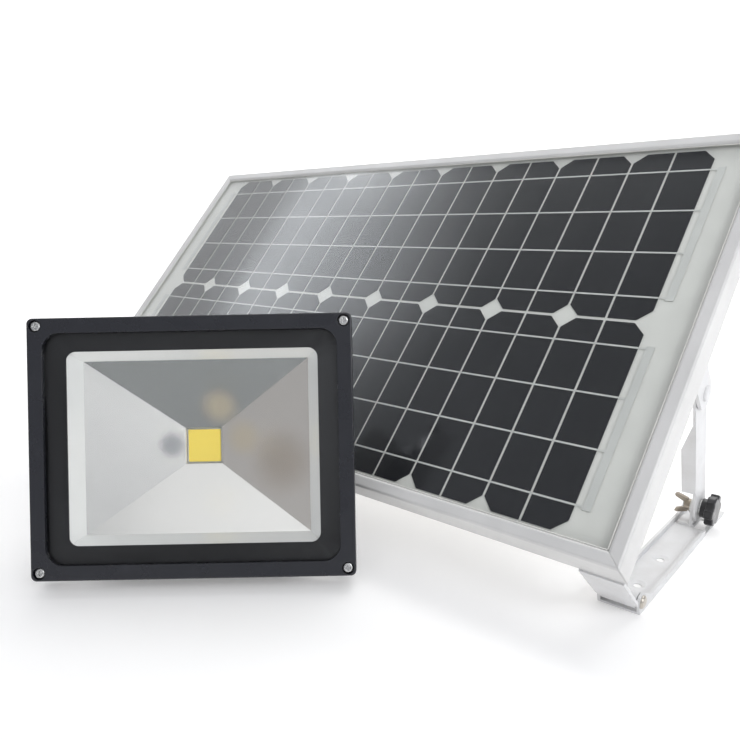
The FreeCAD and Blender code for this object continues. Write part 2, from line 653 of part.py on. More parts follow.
def rear_cover_screws():
    """Four screws of the rear cover."""
    far = PACK_D + 0.8 + COVER_T
    screws = []
    for x, z in cover_places():
        head = rod("y", 3.0, far, far + 2.0, x, z)
        head = head.makeFillet(1.0, [e for e in head.Edges if e.BoundBox.YMin > far + 1.9])
        slot = hexagon_recess(x, z, far + 2.0)
        screws.append(cut(union([head, rod("y", 1.5, PACK_D - 8, far, x, z)]), [slot]))
    return screws


def hexagon_recess(x, z, top):
    """Socket of a small screw head, on the back of the lamp."""
    ring = [(x + 1.3 * math.cos(i * math.pi / 3), top - 1.2, z + 1.3 * math.sin(i * math.pi / 3))
            for i in range(6)]
    return prism(ring, AY * 2)


def battery_cells():
    """Four round lithium cells, side by side."""
    return [rod("z", 9.1, -24.0, 35.0, -27.9 + i * 18.6, 60.8) for i in range(4)]


def battery_straps():
    """Nickel strips across the cells' ends."""
    top, low = 35.0, -24.0
    return [box(-33, 33, 57, 66, top, top + 0.4), box(-33, 33, 57, 66, low - 0.4, low)]


def controller_board():
    """Charge controller beside the cells, with its parts on it."""
    board = box(41.0, 42.6, 52.0, 70.0, -22.0, 34.0)
    chips = [box(42.6, 45.6, 55, 62, 2, 12), box(42.6, 44.6, 56, 66, -14, -6),
             rod("x", 3.0, 42.6, 48.6, 61, 24)]
    return union([board] + chips)


def switch_collar():
    """Threaded collar round the push button."""
    far = PACK_D + 0.8 + COVER_T
    body = union([rod("y", 9.0, far, far + 2.2, SWITCH_X, REAR_Z),
                  rod("y", 6.8, PACK_D - 1.2, far, SWITCH_X, REAR_Z)])
    return cut(body, [rod("y", 5.6, PACK_D - 4, far + 3, SWITCH_X, REAR_Z)])


def switch_button():
    """Push button with a domed cap."""
    far = PACK_D + 0.8 + COVER_T
    cap = rod("y", 5.55, far - 2.2, far + 4.0, SWITCH_X, REAR_Z)
    return cap.makeFillet(1.5, [e for e in cap.Edges if e.BoundBox.YMin > far + 3.9])


def switch_block():
    """Switch body fixed in the collar's inner end."""
    return rod("y", 5.6, PACK_D - 1.15, PACK_D - 0.1, SWITCH_X, REAR_Z)


def cable_gland():
    """Inlet gland for the lead from the panel, with an open bore."""
    far = PACK_D + 0.8 + COVER_T
    body = union([rod("y", 5.0, PACK_D - 1, far, GLAND_X, REAR_Z), rod("y", 8.0, far, far + 3.5, GLAND_X, REAR_Z),
                  rod("y", 6.6, far + 3.5, far + 9, GLAND_X, REAR_Z)])
    return cut(body, [rod("y", 3.0, PACK_D - 2, far + 10, GLAND_X, REAR_Z)])


# ---- yoke ----

def pivot_world():
    """The lamp's tilt axis in the world."""
    return to_lamp(Part.Vertex(0, PIVOT_DEPTH, -PIVOT_DROP)).Point


def to_yoke(shape):
    """From the yoke's frame, with its origin on the floor under the tilt axis, to the world."""
    out = shape.copy()
    p = pivot_world()
    out.rotate(V(0, 0, 0), AZ, LAMP_TURN)
    out.translate(V(p.x, p.y, 0))
    return out


def yoke_bracket():
    """U-shaped steel strap: a foot with three bolt holes, and two arms that narrow upwards."""
    high = pivot_world().z
    reach = ARM_IN + ARM_T
    strap = box(-reach, reach, -15, 15, 0, high)
    strap = soften(strap, 6.0, lambda e: along(AY)(e) and e.BoundBox.ZMax < 1)
    room = box(-ARM_IN, ARM_IN, -16, 16, ARM_T, high + 30)
    room = soften(room, 3.0, lambda e: along(AY)(e) and e.BoundBox.ZMax < ARM_T + 0.1)
    trims = [prism([(-reach - 1, s * 16, 10), (-reach - 1, s * YOKE_R, 28), (-reach - 1, s * YOKE_R, high + 1),
                    (-reach - 1, s * 16, high + 1)], AX * (2 * reach + 2)) for s in (-1, 1)]
    tips = [rod("x", YOKE_R, s * ARM_IN, s * reach, 0, high) for s in (-1, 1)]
    strap = union([cut(strap, [room] + trims)] + tips)
    tools = [rod("x", 4.0 + RUN, -reach - 1, reach + 1, 0, high), rod("z", 5.25, -1, 5, 0, 0)]
    tools += [rod("z", 3.3, -1, 5, s * YOKE_HOLE_X, 0) for s in (-1, 1)]
    return cut(strap, tools)


def yoke_bolts():
    """Bolts screwed into the housing's bosses."""
    bolts = []
    for s in (-1, 1):
        arm = ARM_IN + ARM_T
        shank = rod("x", 4.0, s * (BODY_W / 2 - 11), s * (arm + 1.7), PIVOT_DEPTH, -PIVOT_DROP)
        head = hexagon("x", 13.0, s * (arm + 1.7), s * (arm + 6.7), PIVOT_DEPTH, -PIVOT_DROP)
        bolts.append(union([shank, head]))
    return bolts


def yoke_washers():
    """Large washers under the bolt heads."""
    washers = []
    for s in (-1, 1):
        arm = ARM_IN + ARM_T
        ring = rod("x", 8.5, s * (arm + 0.1), s * (arm + 1.7), PIVOT_DEPTH, -PIVOT_DROP)
        washers.append(cut(ring, [rod("x", 4.0, -120, 120, PIVOT_DEPTH, -PIVOT_DROP)]))
    return washers


# ---- write every node ----

def write_brackets():
    for side, word in ((1, "right"), (-1, "left")):
        write("base_channel_" + word, mirrored(base_channel(), side))
        write("strut_lug_" + word, mirrored(strut_lug(), side))
        write("top_bracket_" + word, mirrored(to_panel(top_bracket()), side))
        write("strut_" + word, mirrored(strut(), side))
        write("knob_" + word, mirrored(knob(), side))
        write("knob_stud_" + word, mirrored(knob_stud(), side))
        write("knob_washer_" + word, mirrored(washer(HALF_W - 11.9, HALF_W - 10.6, 7.0), side))
        write("wing_nut_" + word, mirrored(wing_nut(), side))
        write("wing_nut_washer_" + word, mirrored(washer(HALF_W - 18.65, HALF_W - 17.4, 6.5), side))
    write("hinge_pins", [mirrored(hinge_pin(), side) for side in (1, -1)])
    write("strut_pivot_pins", [mirrored(strut_pivot_pin(), side) for side in (1, -1)])
    write("bracket_screws", [to_panel(s) for s in bracket_screws()])
    write("bracket_nuts", [to_panel(s) for s in bracket_nuts()])


def write_panel():
    for which in ("top", "bottom", "left", "right"):
        rail = frame_rail(which)
        if which in ("left", "right"):
            rail = drill_frame(rail)
        write("frame_rail_" + which, to_panel(rail))
    write("corner_keys", [to_panel(s) for s in corner_keys()])
    write("panel_glass", to_panel(sheet(2.3, GLASS_Z0, GLASS_Z1)))
    write("backsheet", to_panel(sheet(2.3, -1.1, -0.5)))
    write("solar_cells", [to_panel(s) for s in solar_cells()])
    write("cell_ribbons", [to_panel(s) for s in cell_ribbons()])
    write("end_ribbons", [to_panel(s) for s in end_ribbons()])
    write("junction_box", to_panel(junction_box()))
    write("junction_box_lid", to_panel(junction_box_lid()))
    write("junction_box_gland", to_panel(junction_box_gland()))
    write("bypass_diodes", [to_panel(s) for s in bypass_diodes()])


def write_lamp():
    singles = {"front_bezel": front_bezel, "front_glass": front_glass, "glass_mask": glass_mask,
               "glass_gasket": glass_gasket, "reflector": reflector, "led_chip": led_chip,
               "led_board": led_board, "thermal_pad": thermal_pad, "lamp_housing": lamp_housing,
               "rear_cover": rear_cover, "rear_gasket": rear_gasket, "controller_board": controller_board,
               "switch_collar": switch_collar, "switch_button": switch_button,
               "switch_block": switch_block, "cable_gland": cable_gland}
    groups = {"bezel_screws": bezel_screws, "led_board_screws": led_board_screws,
              "rear_cover_screws": rear_cover_screws, "battery_cells": battery_cells,
              "battery_straps": battery_straps, "yoke_bolts": yoke_bolts, "yoke_washers": yoke_washers}
    for name, make in singles.items():
        write(name, to_lamp(make()))
    for name, make in groups.items():
        write(name, [to_lamp(s) for s in make()])
    write("yoke_bracket", to_yoke(yoke_bracket()))


os.makedirs("parts", exist_ok=True)
write_brackets()
write_panel()
write_lamp()
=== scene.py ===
"""Looks, light and camera for the solar flood light kit. Metres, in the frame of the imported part."""
import bmesh
import bpy
import json
import math
from mathutils import Matrix, Vector


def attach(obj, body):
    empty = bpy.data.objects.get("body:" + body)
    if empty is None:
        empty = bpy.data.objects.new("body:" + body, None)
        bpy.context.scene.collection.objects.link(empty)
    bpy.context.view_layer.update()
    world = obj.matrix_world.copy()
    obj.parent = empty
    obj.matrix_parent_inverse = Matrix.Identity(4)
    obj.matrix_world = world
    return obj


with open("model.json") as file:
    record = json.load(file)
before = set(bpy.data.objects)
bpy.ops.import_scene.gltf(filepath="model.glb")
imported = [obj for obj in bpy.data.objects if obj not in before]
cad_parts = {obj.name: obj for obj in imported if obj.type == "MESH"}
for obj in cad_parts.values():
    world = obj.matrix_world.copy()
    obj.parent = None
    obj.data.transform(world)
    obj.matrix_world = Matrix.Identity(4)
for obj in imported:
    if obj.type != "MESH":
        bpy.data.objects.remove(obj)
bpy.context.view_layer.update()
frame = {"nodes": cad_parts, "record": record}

MM = 0.001

# Panel: its slope when locked, the hinge line, and where that is in the panel's own millimetres
SLOPE = math.radians(45.8)
HINGE_Y, HINGE_Z = -0.055, 0.009
HINGE_BELOW, HINGE_BEHIND = 166.3, 68.0
FINGER_PITCH = 0.0017               # fine silver lines printed on the cells

# Lamp: how its face is turned and leans back, the middle of its front, and the LED
TURN, LEAN = math.radians(41.3), math.radians(17.6)
LAMP_RIGHT = Vector((math.cos(TURN), math.sin(TURN), 0.0))
LAMP_DEPTH = Vector((-math.sin(TURN) * math.cos(LEAN), math.cos(TURN) * math.cos(LEAN), -math.sin(LEAN)))
LAMP_UP = LAMP_RIGHT.cross(LAMP_DEPTH)
LAMP_FACE = Vector((0.0488, -0.2045, 0.0988))
CHIP_AT = LAMP_FACE + LAMP_DEPTH * 0.0396
PAINTED_PATCH_RISE = 0.007                  # the reflector's painted reflection patches lie this far in front of the LED
# Painted reflections on the reflector about the LED, as tinted patches: right, up, radius, colour
PAINTED_REFLECTIONS = ((0.0134, 0.029, 0.012, (0.46, 0.40, 0.30)), (0.030, 0.0055, 0.012, (0.80, 0.70, 0.54)),
               (-0.022, 0.001, 0.009, (0.36, 0.37, 0.41)), (0.062, -0.012, 0.022, (0.56, 0.48, 0.40)))

# Beads, in millimetres
DAM_HALF, DAM_DEPTH, DAM_CORNER, DAM_RADIUS = 12.6, 39.9, 1.6, 0.48
SEAL_HALF_X, SEAL_HALF_Y, SEAL_Z, SEAL_CORNER, SEAL_RADIUS = 303.9, 160.4, 3.5, 1.0, 0.45
WELD_X = {"outer": 299.7, "inner": 287.7}
WELD_Z, WELD_START_Y, WELD_STEP, WELD_POINTS = 2.4, 92.5, 0.5, 31
WELD_RADIUS, WELD_RIPPLE = 0.7, 0.25
BEAD_SIDES = 12

# Stage: a floor that bends up into a wall
FLOOR_FRONT, FLOOR_HALF_WIDTH = -6.0, 9.0
BEND_START, BEND_RADIUS, WALL_TOP, BEND_STEPS = 2.0, 3.0, 7.0, 32

# Area lights: name, place, aim, size, watts, colour
LIGHTS = (
    ("key", (2.3, -0.5, 1.5), (0, -0.05, 0.1), (1.4, 1.2), 25, (0.97, 0.985, 1.0)),
    ("front", (0.85, -1.15, 1.95), (0.05, -0.1, 0.1), (1.8, 1.5), 6.5, (1, 1, 1)),
    ("overhead", (0.3, 1.5, 2.6), (0, 0.5, 0), (2.6, 1.6), 27, (1, 1, 1)),
    ("wash", (-1.0, 1.6, 3.6), (-1.9, 4.0, 0.8), (4.0, 2.0), 90, (1, 1, 1)),
)

# Room that the object reflects: colours by height, and one window
ROOM_LOW, ROOM_WALL, ROOM_CEILING = (0.44, 0.45, 0.48), (0.42, 0.43, 0.46), (0.19, 0.195, 0.21)
WALL_STOP, CEILING_STOP = 0.45, 0.92
WINDOW_TOWARD, WINDOW_EDGE, WINDOW_GLOW = Vector((-0.83, 0.08, 0.56)), 0.90, (6.0, 6.2, 6.5)
BACKDROP = (0.97, 0.97, 0.97)

# Camera: place, the three turns in degrees, focal length in mm, and vertical shift
CAMERA_AT = (0.4295, -0.4487, 0.2499)
CAMERA_TURN, CAMERA_TIP, CAMERA_ROLL = 41.43, 90 - 17.57, -1.16
LENS, SENSOR, SHIFT_UP = 32.45, 36.0, 0.0743


# ---- node helpers ----

class Tree:
    """The node tree of a material or world, with short calls for the nodes it uses."""

    def __init__(self, owner, output="ShaderNodeOutputMaterial"):
        self.owner = owner
        self.owner.use_nodes = True
        self.nodes = self.owner.node_tree.nodes
        self.links = self.owner.node_tree.links
        self.nodes.clear()
        self.out = self.nodes.new(output)

    def add(self, kind, **values):
        node = self.nodes.new(kind)
        for key, value in values.items():
            setattr(node, key, value)
        return node

    def plug(self, source, target):
        self.links.new(source, target)

    def shader(self, color, roughness, metallic=0.0, **extra):
        """The Principled shader, joined to the output."""
        node = self.add("ShaderNodeBsdfPrincipled")
        node.inputs["Base Color"].default_value = (*color, 1.0)
        node.inputs["Roughness"].default_value = roughness
        node.inputs["Metallic"].default_value = metallic
        for key, value in extra.items():
            node.inputs[key.replace("_", " ")].default_value = value
        self.plug(node.outputs[0], self.out.inputs["Surface"])
        return node

    def place(self, scale=(1, 1, 1), turn=(0, 0, 0)):
        """Coordinates on the part at rest, turned and scaled."""
        coords = self.add("ShaderNodeTexCoord")
        turned = self.add("ShaderNodeMapping")
        turned.inputs["Rotation"].default_value = turn
        scaled = self.add("ShaderNodeMapping")
        scaled.inputs["Scale"].default_value = scale
        self.plug(coords.outputs["Object"], turned.inputs["Vector"])
        self.plug(turned.outputs[0], scaled.inputs["Vector"])
        return scaled.outputs[0]

    def noise(self, where, scale, detail=3.0, rough=0.5):
        node = self.add("ShaderNodeTexNoise")
        node.inputs["Scale"].default_value = scale
        node.inputs["Detail"].default_value = detail
        node.inputs["Roughness"].default_value = rough
        self.plug(where, node.inputs["Vector"])
        return node.outputs["Fac"]

    def ramp(self, value, low, high, out_low=0.0, out_high=1.0):
        node = self.add("ShaderNodeMapRange")
        for i, number in enumerate((low, high, out_low, out_high)):
            node.inputs[i + 1].default_value = number
        self.plug(value, node.inputs[0])
        return node.outputs[0]

    def blend(self, factor, first, second):
        """A colour between two colours."""
        node = self.add("ShaderNodeMix", data_type="RGBA")
        for socket, color in ((node.inputs[6], first), (node.inputs[7], second)):
            if isinstance(color, tuple):
                socket.default_value = (*color, 1.0)
            else:
                self.plug(color, socket)
        self.plug(factor, node.inputs[0])
        return node.outputs[2]

    def bump(self, shader, height, strength, distance, edge=0.0):
        """Fine relief, over rounded edges where edge is given."""
        node = self.add("ShaderNodeBump")
        node.inputs["Strength"].default_value = strength
        node.inputs["Distance"].default_value = distance
        self.plug(height, node.inputs["Height"])
        if edge:
            bevel = self.add("ShaderNodeBevel", samples=4)
            bevel.inputs["Radius"].default_value = edge
            self.plug(bevel.outputs[0], node.inputs["Normal"])
        self.plug(node.outputs[0], shader.inputs["Normal"])


def new_material(name):
    return Tree(bpy.data.materials.new(name))


# ---- materials ----

def powder_coat():
    """White powder coat: fine orange peel and a trace of handling marks."""
    t = new_material("powder_coat_white")
    s = t.shader((0.80, 0.80, 0.79), 0.42, Coat_Weight=0.15, Coat_Roughness=0.25)
    where = t.place()
    marks = t.ramp(t.noise(where, 38, 5, 0.6), 0.45, 0.75)
    t.plug(t.blend(marks, (0.74, 0.74, 0.745), (0.66, 0.655, 0.65)), s.inputs["Base Color"])
    t.plug(t.ramp(t.noise(where, 90, 3), 0.3, 0.7, 0.34, 0.52), s.inputs["Roughness"])
    t.bump(s, t.noise(where, 1400, 2), 0.25, 0.0002, 0.0006)
    return t.owner


def brushed(name, color, rough, stretch, edge=0.0004, turn=(0, 0, 0), metallic=1.0):
    """Metal with a fine directional grain."""
    t = new_material(name)
    s = t.shader(color, rough, metallic)
    grain = t.noise(t.place(stretch, turn), 900, 4, 0.65)
    t.plug(t.ramp(grain, 0.3, 0.7, rough - 0.08, rough + 0.12), s.inputs["Roughness"])
    patch = t.ramp(t.noise(t.place(), 25, 4), 0.35, 0.7)
    dark = tuple(c * 0.9 for c in color)
    t.plug(t.blend(patch, color, dark), s.inputs["Base Color"])
    t.bump(s, grain, 0.12, 0.0001, edge)
    return t.owner


def silicon():
    """Mono cells: blue-black, each a little different, with fine printed fingers."""
    t = new_material("cell_silicon")
    s = t.shader((0.012, 0.013, 0.018), 0.32, 0.0, Specular_IOR_Level=0.4)
    panel = t.place((1, 1, 1), (-SLOPE, 0, 0))
    wave = t.add("ShaderNodeTexWave", wave_type="BANDS", bands_direction="X")
    wave.inputs["Scale"].default_value = math.pi / 10 / FINGER_PITCH
    t.plug(panel, wave.inputs["Vector"])
    fingers = t.ramp(wave.outputs["Fac"], 0.93, 1.0)
    island = t.add("ShaderNodeNewGeometry")
    tone = t.blend(island.outputs["Random Per Island"], (0.005, 0.0055, 0.008), (0.009, 0.0095, 0.012))
    t.plug(t.blend(fingers, tone, (0.013, 0.0135, 0.016)), s.inputs["Base Color"])
    t.plug(t.ramp(t.noise(panel, 9, 3), 0.3, 0.7, 0.28, 0.36), s.inputs["Roughness"])
    return t.owner


def clear_glass(name, tint, rough):
    """Glass that lets lamps through, with a faint uneven haze."""
    t = new_material(name)
    s = t.shader(tint, rough, Transmission_Weight=1.0, IOR=1.46)
    haze = t.ramp(t.noise(t.place(), 12, 3), 0.3, 0.7)
    t.plug(t.blend(haze, tint, tuple(c * 0.985 for c in tint)), s.inputs["Base Color"])
    path = t.add("ShaderNodeLightPath")
    clear = t.add("ShaderNodeBsdfTransparent")
    clear.inputs[0].default_value = (*tint, 1.0)
    mix = t.add("ShaderNodeMixShader")
    both = t.add("ShaderNodeMath", operation="MAXIMUM")
    t.plug(path.outputs["Is Shadow Ray"], both.inputs[0])
    t.plug(path.outputs["Is Diffuse Ray"], both.inputs[1])
    t.plug(both.outputs[0], mix.inputs[0])
    t.plug(s.outputs[0], mix.inputs[1])
    t.plug(clear.outputs[0], mix.inputs[2])
    t.plug(mix.outputs[0], t.out.inputs["Surface"])
    return t.owner


def film(name, color, rough, grain=500):
    """Thin matt film or print."""
    t = new_material(name)
    s = t.shader(color, rough)
    where = t.place()
    mottle = t.ramp(t.noise(where, 60, 4), 0.3, 0.7)
    t.plug(t.blend(mottle, color, tuple(c * 0.93 for c in color)), s.inputs["Base Color"])
    t.bump(s, t.noise(where, grain, 3), 0.1, 0.0001)
    return t.owner


def moulded(name, color, rough, grain, depth=0.00008, coat=0.0, edge=0.0005):
    """Moulded plastic or rubber with a spark-eroded grain."""
    t = new_material(name)
    s = t.shader(color, rough, Coat_Weight=coat, Coat_Roughness=0.15)
    where = t.place()
    cells = t.add("ShaderNodeTexVoronoi")
    cells.inputs["Scale"].default_value = grain
    t.plug(where, cells.inputs["Vector"])
    soft = t.noise(where, 70, 4)
    t.plug(t.ramp(soft, 0.3, 0.7, rough - 0.07, rough + 0.1), s.inputs["Roughness"])
    t.plug(t.blend(t.ramp(soft, 0.4, 0.8), color, tuple(min(1, c * 1.5 + 0.004) for c in color)),
           s.inputs["Base Color"])
    t.bump(s, cells.outputs["Distance"], 0.35, depth, edge)
    return t.owner


def black_paint():
    """Gloss black coat on die-cast metal: slight orange peel, a little dust."""
    t = new_material("black_powder_gloss")
    s = t.shader((0.009, 0.010, 0.015), 0.28, 0.0, Coat_Weight=0.5, Coat_Roughness=0.1)
    where = t.place()
    dust = t.ramp(t.noise(where, 55, 6, 0.62), 0.55, 0.85)
    t.plug(t.blend(dust, (0.008, 0.009, 0.014), (0.018, 0.019, 0.026)), s.inputs["Base Color"])
    t.plug(t.ramp(t.noise(where, 60, 4), 0.3, 0.7, 0.24, 0.34), s.inputs["Roughness"])
    t.bump(s, t.noise(where, 500, 2), 0.06, 0.0002, 0.0009)
    return t.owner


def facing(tree, direction, low, high):
    """How far the surface at rest faces a direction, from 0 to 1."""
    coords = tree.add("ShaderNodeTexCoord")
    dot = tree.add("ShaderNodeVectorMath", operation="DOT_PRODUCT")
    dot.inputs[1].default_value = direction
    tree.plug(coords.outputs["Normal"], dot.inputs[0])
    return tree.ramp(dot.outputs["Value"], low, high)


def painted_reflection_patch(tree, centre, radius):
    """A soft round patch about a point of the part at rest; it places a painted reflection."""
    coords = tree.add("ShaderNodeTexCoord")
    apart = tree.add("ShaderNodeVectorMath", operation="DISTANCE")
    apart.inputs[1].default_value = centre
    tree.plug(coords.outputs["Object"], apart.inputs[0])
    patch = tree.ramp(apart.outputs["Value"], radius * 1.5, radius * 0.3)
    patch.node.interpolation_type = "SMOOTHSTEP"
    return patch


def mirror_sheet():
    """Matt anodised reflector sheet, with painted light: a painted tone for each facet (painted shade
    facing down, a painted warm reflection facing left, a painted pale silver on the steep walls) and
    painted reflections as soft tinted patches about the LED.
    """
    t = new_material("reflector_sheet")
    s = t.shader((0.80, 0.79, 0.765), 0.27, 1.0)
    # painted light: walls turned away from the front get a pale, less metallic silver; facets facing the
    # front keep the sheet's tones
    flat = facing(t, -LAMP_DEPTH, 0.7, 0.85)
    t.plug(t.ramp(flat, 0.0, 1.0, 0.25, 0.85), s.inputs["Metallic"])
    cloud = t.ramp(t.noise(t.place(), 14, 4), 0.3, 0.75)
    sheet = t.blend(cloud, (0.92, 0.905, 0.885), (0.88, 0.87, 0.85))
    # painted shade: facets facing down are darkened
    painted_shade_down = facing(t, -LAMP_UP, 0.1, 0.36)
    # painted reflection: facets facing left are tinted warm tan
    left = facing(t, -LAMP_RIGHT, 0.1, 0.36)
    sheet = t.blend(painted_shade_down, sheet, (0.25, 0.26, 0.26))
    sheet = t.blend(left, sheet, (0.66, 0.60, 0.54))
    # painted reflections: soft tinted round patches laid on the sheet about the LED
    for right, up, radius, tone in PAINTED_REFLECTIONS:
        patch = painted_reflection_patch(t, CHIP_AT + LAMP_RIGHT * right + LAMP_UP * up - LAMP_DEPTH * PAINTED_PATCH_RISE, radius)
        sheet = t.blend(t.ramp(patch, 0.0, 1.0, 0.0, 0.8), sheet, tone)
    # steep walls take the painted pale silver; the rest takes the sheet with its painted shade and
    # painted reflections
    t.plug(t.blend(flat, (0.90, 0.90, 0.89), sheet), s.inputs["Base Color"])
    return t.owner


def phosphor():
    """Yellow silicone gel with suspended phosphor."""
    t = new_material("led_phosphor")
    s = t.shader((1.0, 0.76, 0.12), 0.38, Coat_Weight=0.4, Coat_Roughness=0.2)
    where = t.place()
    t.plug(t.blend(t.ramp(t.noise(where, 1800, 3), 0.3, 0.7), (1.0, 0.79, 0.13), (0.99, 0.74, 0.10)),
           s.inputs["Base Color"])
    t.bump(s, t.noise(where, 500, 2), 0.2, 0.0003)
    return t.owner


def make_materials():
    """The material of each slot of the record."""
    return {
        "zinc_steel": powder_coat(),
        "pin_steel": brushed("rivet_steel", (0.58, 0.54, 0.48), 0.3, (1, 1, 1)),
        "frame_aluminium": brushed("coated_frame", (0.72, 0.715, 0.705), 0.36, (0.02, 1, 1), 0.0012,
                                   metallic=0.08),
        "cell_silicon": silicon(),
        "ribbon": brushed("tinned_ribbon", (0.66, 0.66, 0.64), 0.5, (0.05, 1, 1), 0.0, metallic=0.2),
        "solar_glass": clear_glass("solar_glass", (0.975, 0.985, 0.98), 0.1),
        "backsheet": film("backsheet_film", (0.76, 0.75, 0.715), 0.55),
        "black_plastic": moulded("black_plastic", (0.018, 0.018, 0.020), 0.5, 1800),
        "knob_plastic": moulded("knob_plastic", (0.010, 0.010, 0.012), 0.3, 1500, 0.00004, 0.3, 0.0008),
        "bright_steel": brushed("bright_zinc", (0.68, 0.68, 0.67), 0.26, (1, 1, 1)),
        "nickel_nut": brushed("cast_nickel", (0.34, 0.30, 0.25), 0.38, (1, 1, 1), 0.0007),
        "black_paint": black_paint(),
        "lamp_glass": clear_glass("lamp_glass", (0.985, 0.99, 0.985), 0.0),
        "mask_print": film("mask_print", (0.003, 0.003, 0.004), 0.3, 60),
        "seal_rubber": moulded("seal_rubber", (0.02, 0.02, 0.021), 0.7, 1200),
        "reflector_metal": mirror_sheet(),
        "led_phosphor": phosphor(),
        "board_alu": brushed("board_aluminium", (0.75, 0.75, 0.73), 0.4, (1, 1, 1)),
        "pad_grey": moulded("pad_grey", (0.27, 0.29, 0.32), 0.7, 900),
        "battery_sleeve": moulded("battery_sleeve", (0.02, 0.07, 0.24), 0.3, 700, 0.00003, 0.4),
        "nickel_strip": brushed("nickel_strip", (0.62, 0.60, 0.57), 0.33, (1, 1, 0.1)),
        "circuit_green": moulded("circuit_green", (0.01, 0.07, 0.03), 0.35, 2200, 0.00003, 0.3),
        "switch_rubber": moulded("switch_rubber", (0.02, 0.02, 0.022), 0.65, 1500),
    }


def dress_cad_nodes(materials):
    """Every carried-over node gets the material of its slot."""
    for entry in frame["record"]["subparts"]:
        node = frame["nodes"][entry["node"]]
        for slot in node.material_slots:
            slot.material = materials[entry["material_slot"]]


# ---- small pieces added to the part ----

def on_panel(x, y, z):
    """A point of the panel, in its own millimetres, where it stands at rest."""
    up, out = (y + HINGE_BELOW) * MM, (z + HINGE_BEHIND) * MM
    return Vector((x * MM, HINGE_Y + up * math.cos(SLOPE) - out * math.sin(SLOPE),
                   HINGE_Z + up * math.sin(SLOPE) + out * math.cos(SLOPE)))


def on_lamp(x, depth, z):
    """A point of the lamp, in its own millimetres, where it stands at rest."""
    return LAMP_FACE + (LAMP_RIGHT * x + LAMP_DEPTH * depth + LAMP_UP * z) * MM


def rounded_loop(half_x, half_y, radius, steps=6):
    """Corner points of a rounded rectangle round the origin."""
    points = []
    for quarter, (sx, sy) in enumerate(((1, 1), (-1, 1), (-1, -1), (1, -1))):
        for i in range(steps + 1):
            turn = math.radians(90 * quarter + 90 * i / steps)
            points.append((sx * (half_x - radius) + radius * math.cos(turn),
                           sy * (half_y - radius) + radius * math.sin(turn)))
    return points


def bead_rings(mesh, path, radius, closed, ripple):
    """Rings of corner points along a path, with no twist from one to the next."""
    rings = []
    last_side = None
    count = len(path)
    for i, point in enumerate(path):
        before = path[i - 1] if closed or i else point
        after = path[(i + 1) % count] if closed or i + 1 < count else point
        along = (after - before).normalized()
        side = along.orthogonal().normalized()
        if last_side is not None and abs(along.dot(last_side)) < 0.999:
            side = (last_side - along * along.dot(last_side)).normalized()
        last_side = side
        other = along.cross(side)
        size = radius * (1 + ripple * math.sin(i * 2.1))
        ring = []
        for k in range(BEAD_SIDES):
            turn = 2 * math.pi * k / BEAD_SIDES
            ring.append(mesh.verts.new(point + (side * math.cos(turn) + other * math.sin(turn)) * size))
        rings.append(ring)
    return rings


def bead(name, path, radius, closed, ripple, material, body):
    """A rounded bead along a path; the ripple swells and pinches it."""
    mesh = bmesh.new()
    rings = bead_rings(mesh, path, radius, closed, ripple)
    pairs = list(zip(rings, rings[1:]))
    if closed:
        pairs.append((rings[-1], rings[0]))
    for first, second in pairs:
        for k in range(BEAD_SIDES):
            after = (k + 1) % BEAD_SIDES
            face = mesh.faces.new((first[k], first[after], second[after], second[k]))
            face.smooth = True
    if not closed:
        mesh.faces.new(list(reversed(rings[0])))
        mesh.faces.new(rings[-1])
    bmesh.ops.recalc_face_normals(mesh, faces=mesh.faces)
    data = bpy.data.meshes.new(name)
    mesh.to_mesh(data)
    mesh.free()
    data.materials.append(material)
    obj = bpy.data.objects.new(name, data)
    bpy.context.scene.collection.objects.link(obj)
    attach(obj, body)


def add_beads(materials):
    """The dam round the LED, the sealant round the panel's glass, and the welds of the strut lugs."""
    dam = [on_lamp(x, DAM_DEPTH, z) for x, z in rounded_loop(DAM_HALF, DAM_HALF, DAM_CORNER)]
    bead("led_dam", dam, DAM_RADIUS * MM, True, 0.0, materials["board_alu"], "lamp_head")
    seal = [on_panel(x, y, SEAL_Z) for x, y in rounded_loop(SEAL_HALF_X, SEAL_HALF_Y, SEAL_CORNER)]
    bead("glass_sealant", seal, SEAL_RADIUS * MM, True, 0.0, materials["backsheet"], "panel")
    for side, word in ((1, "right"), (-1, "left")):
        for edge, x in WELD_X.items():
            weld = [Vector((side * x, WELD_START_Y + WELD_STEP * i, WELD_Z)) * MM
                    for i in range(WELD_POINTS)]
            bead("weld_%s_%s" % (edge, word), weld, WELD_RADIUS * MM, False, WELD_RIPPLE,
                 materials["zinc_steel"], "stand")


# ---- stage, light and camera ----

def stage_material():
    """Pale matt floor; it glows a little, and more so further off, so that it stays white."""
    t = new_material("stage_white")
    s = t.shader((0.88, 0.875, 0.87), 0.8, Specular_IOR_Level=0.2)
    where = t.place()
    t.plug(t.blend(t.ramp(t.noise(where, 3, 4), 0.3, 0.7), (0.885, 0.88, 0.875), (0.87, 0.865, 0.86)),
           s.inputs["Base Color"])
    s.inputs["Emission Color"].default_value = (1.0, 0.99, 0.98, 1.0)
    away = t.add("ShaderNodeVectorMath", operation="LENGTH")
    t.plug(where, away.inputs[0])
    t.plug(t.ramp(away.outputs["Value"], 0.35, 1.3, 0.2, 0.38), s.inputs["Emission Strength"])
    return t.owner


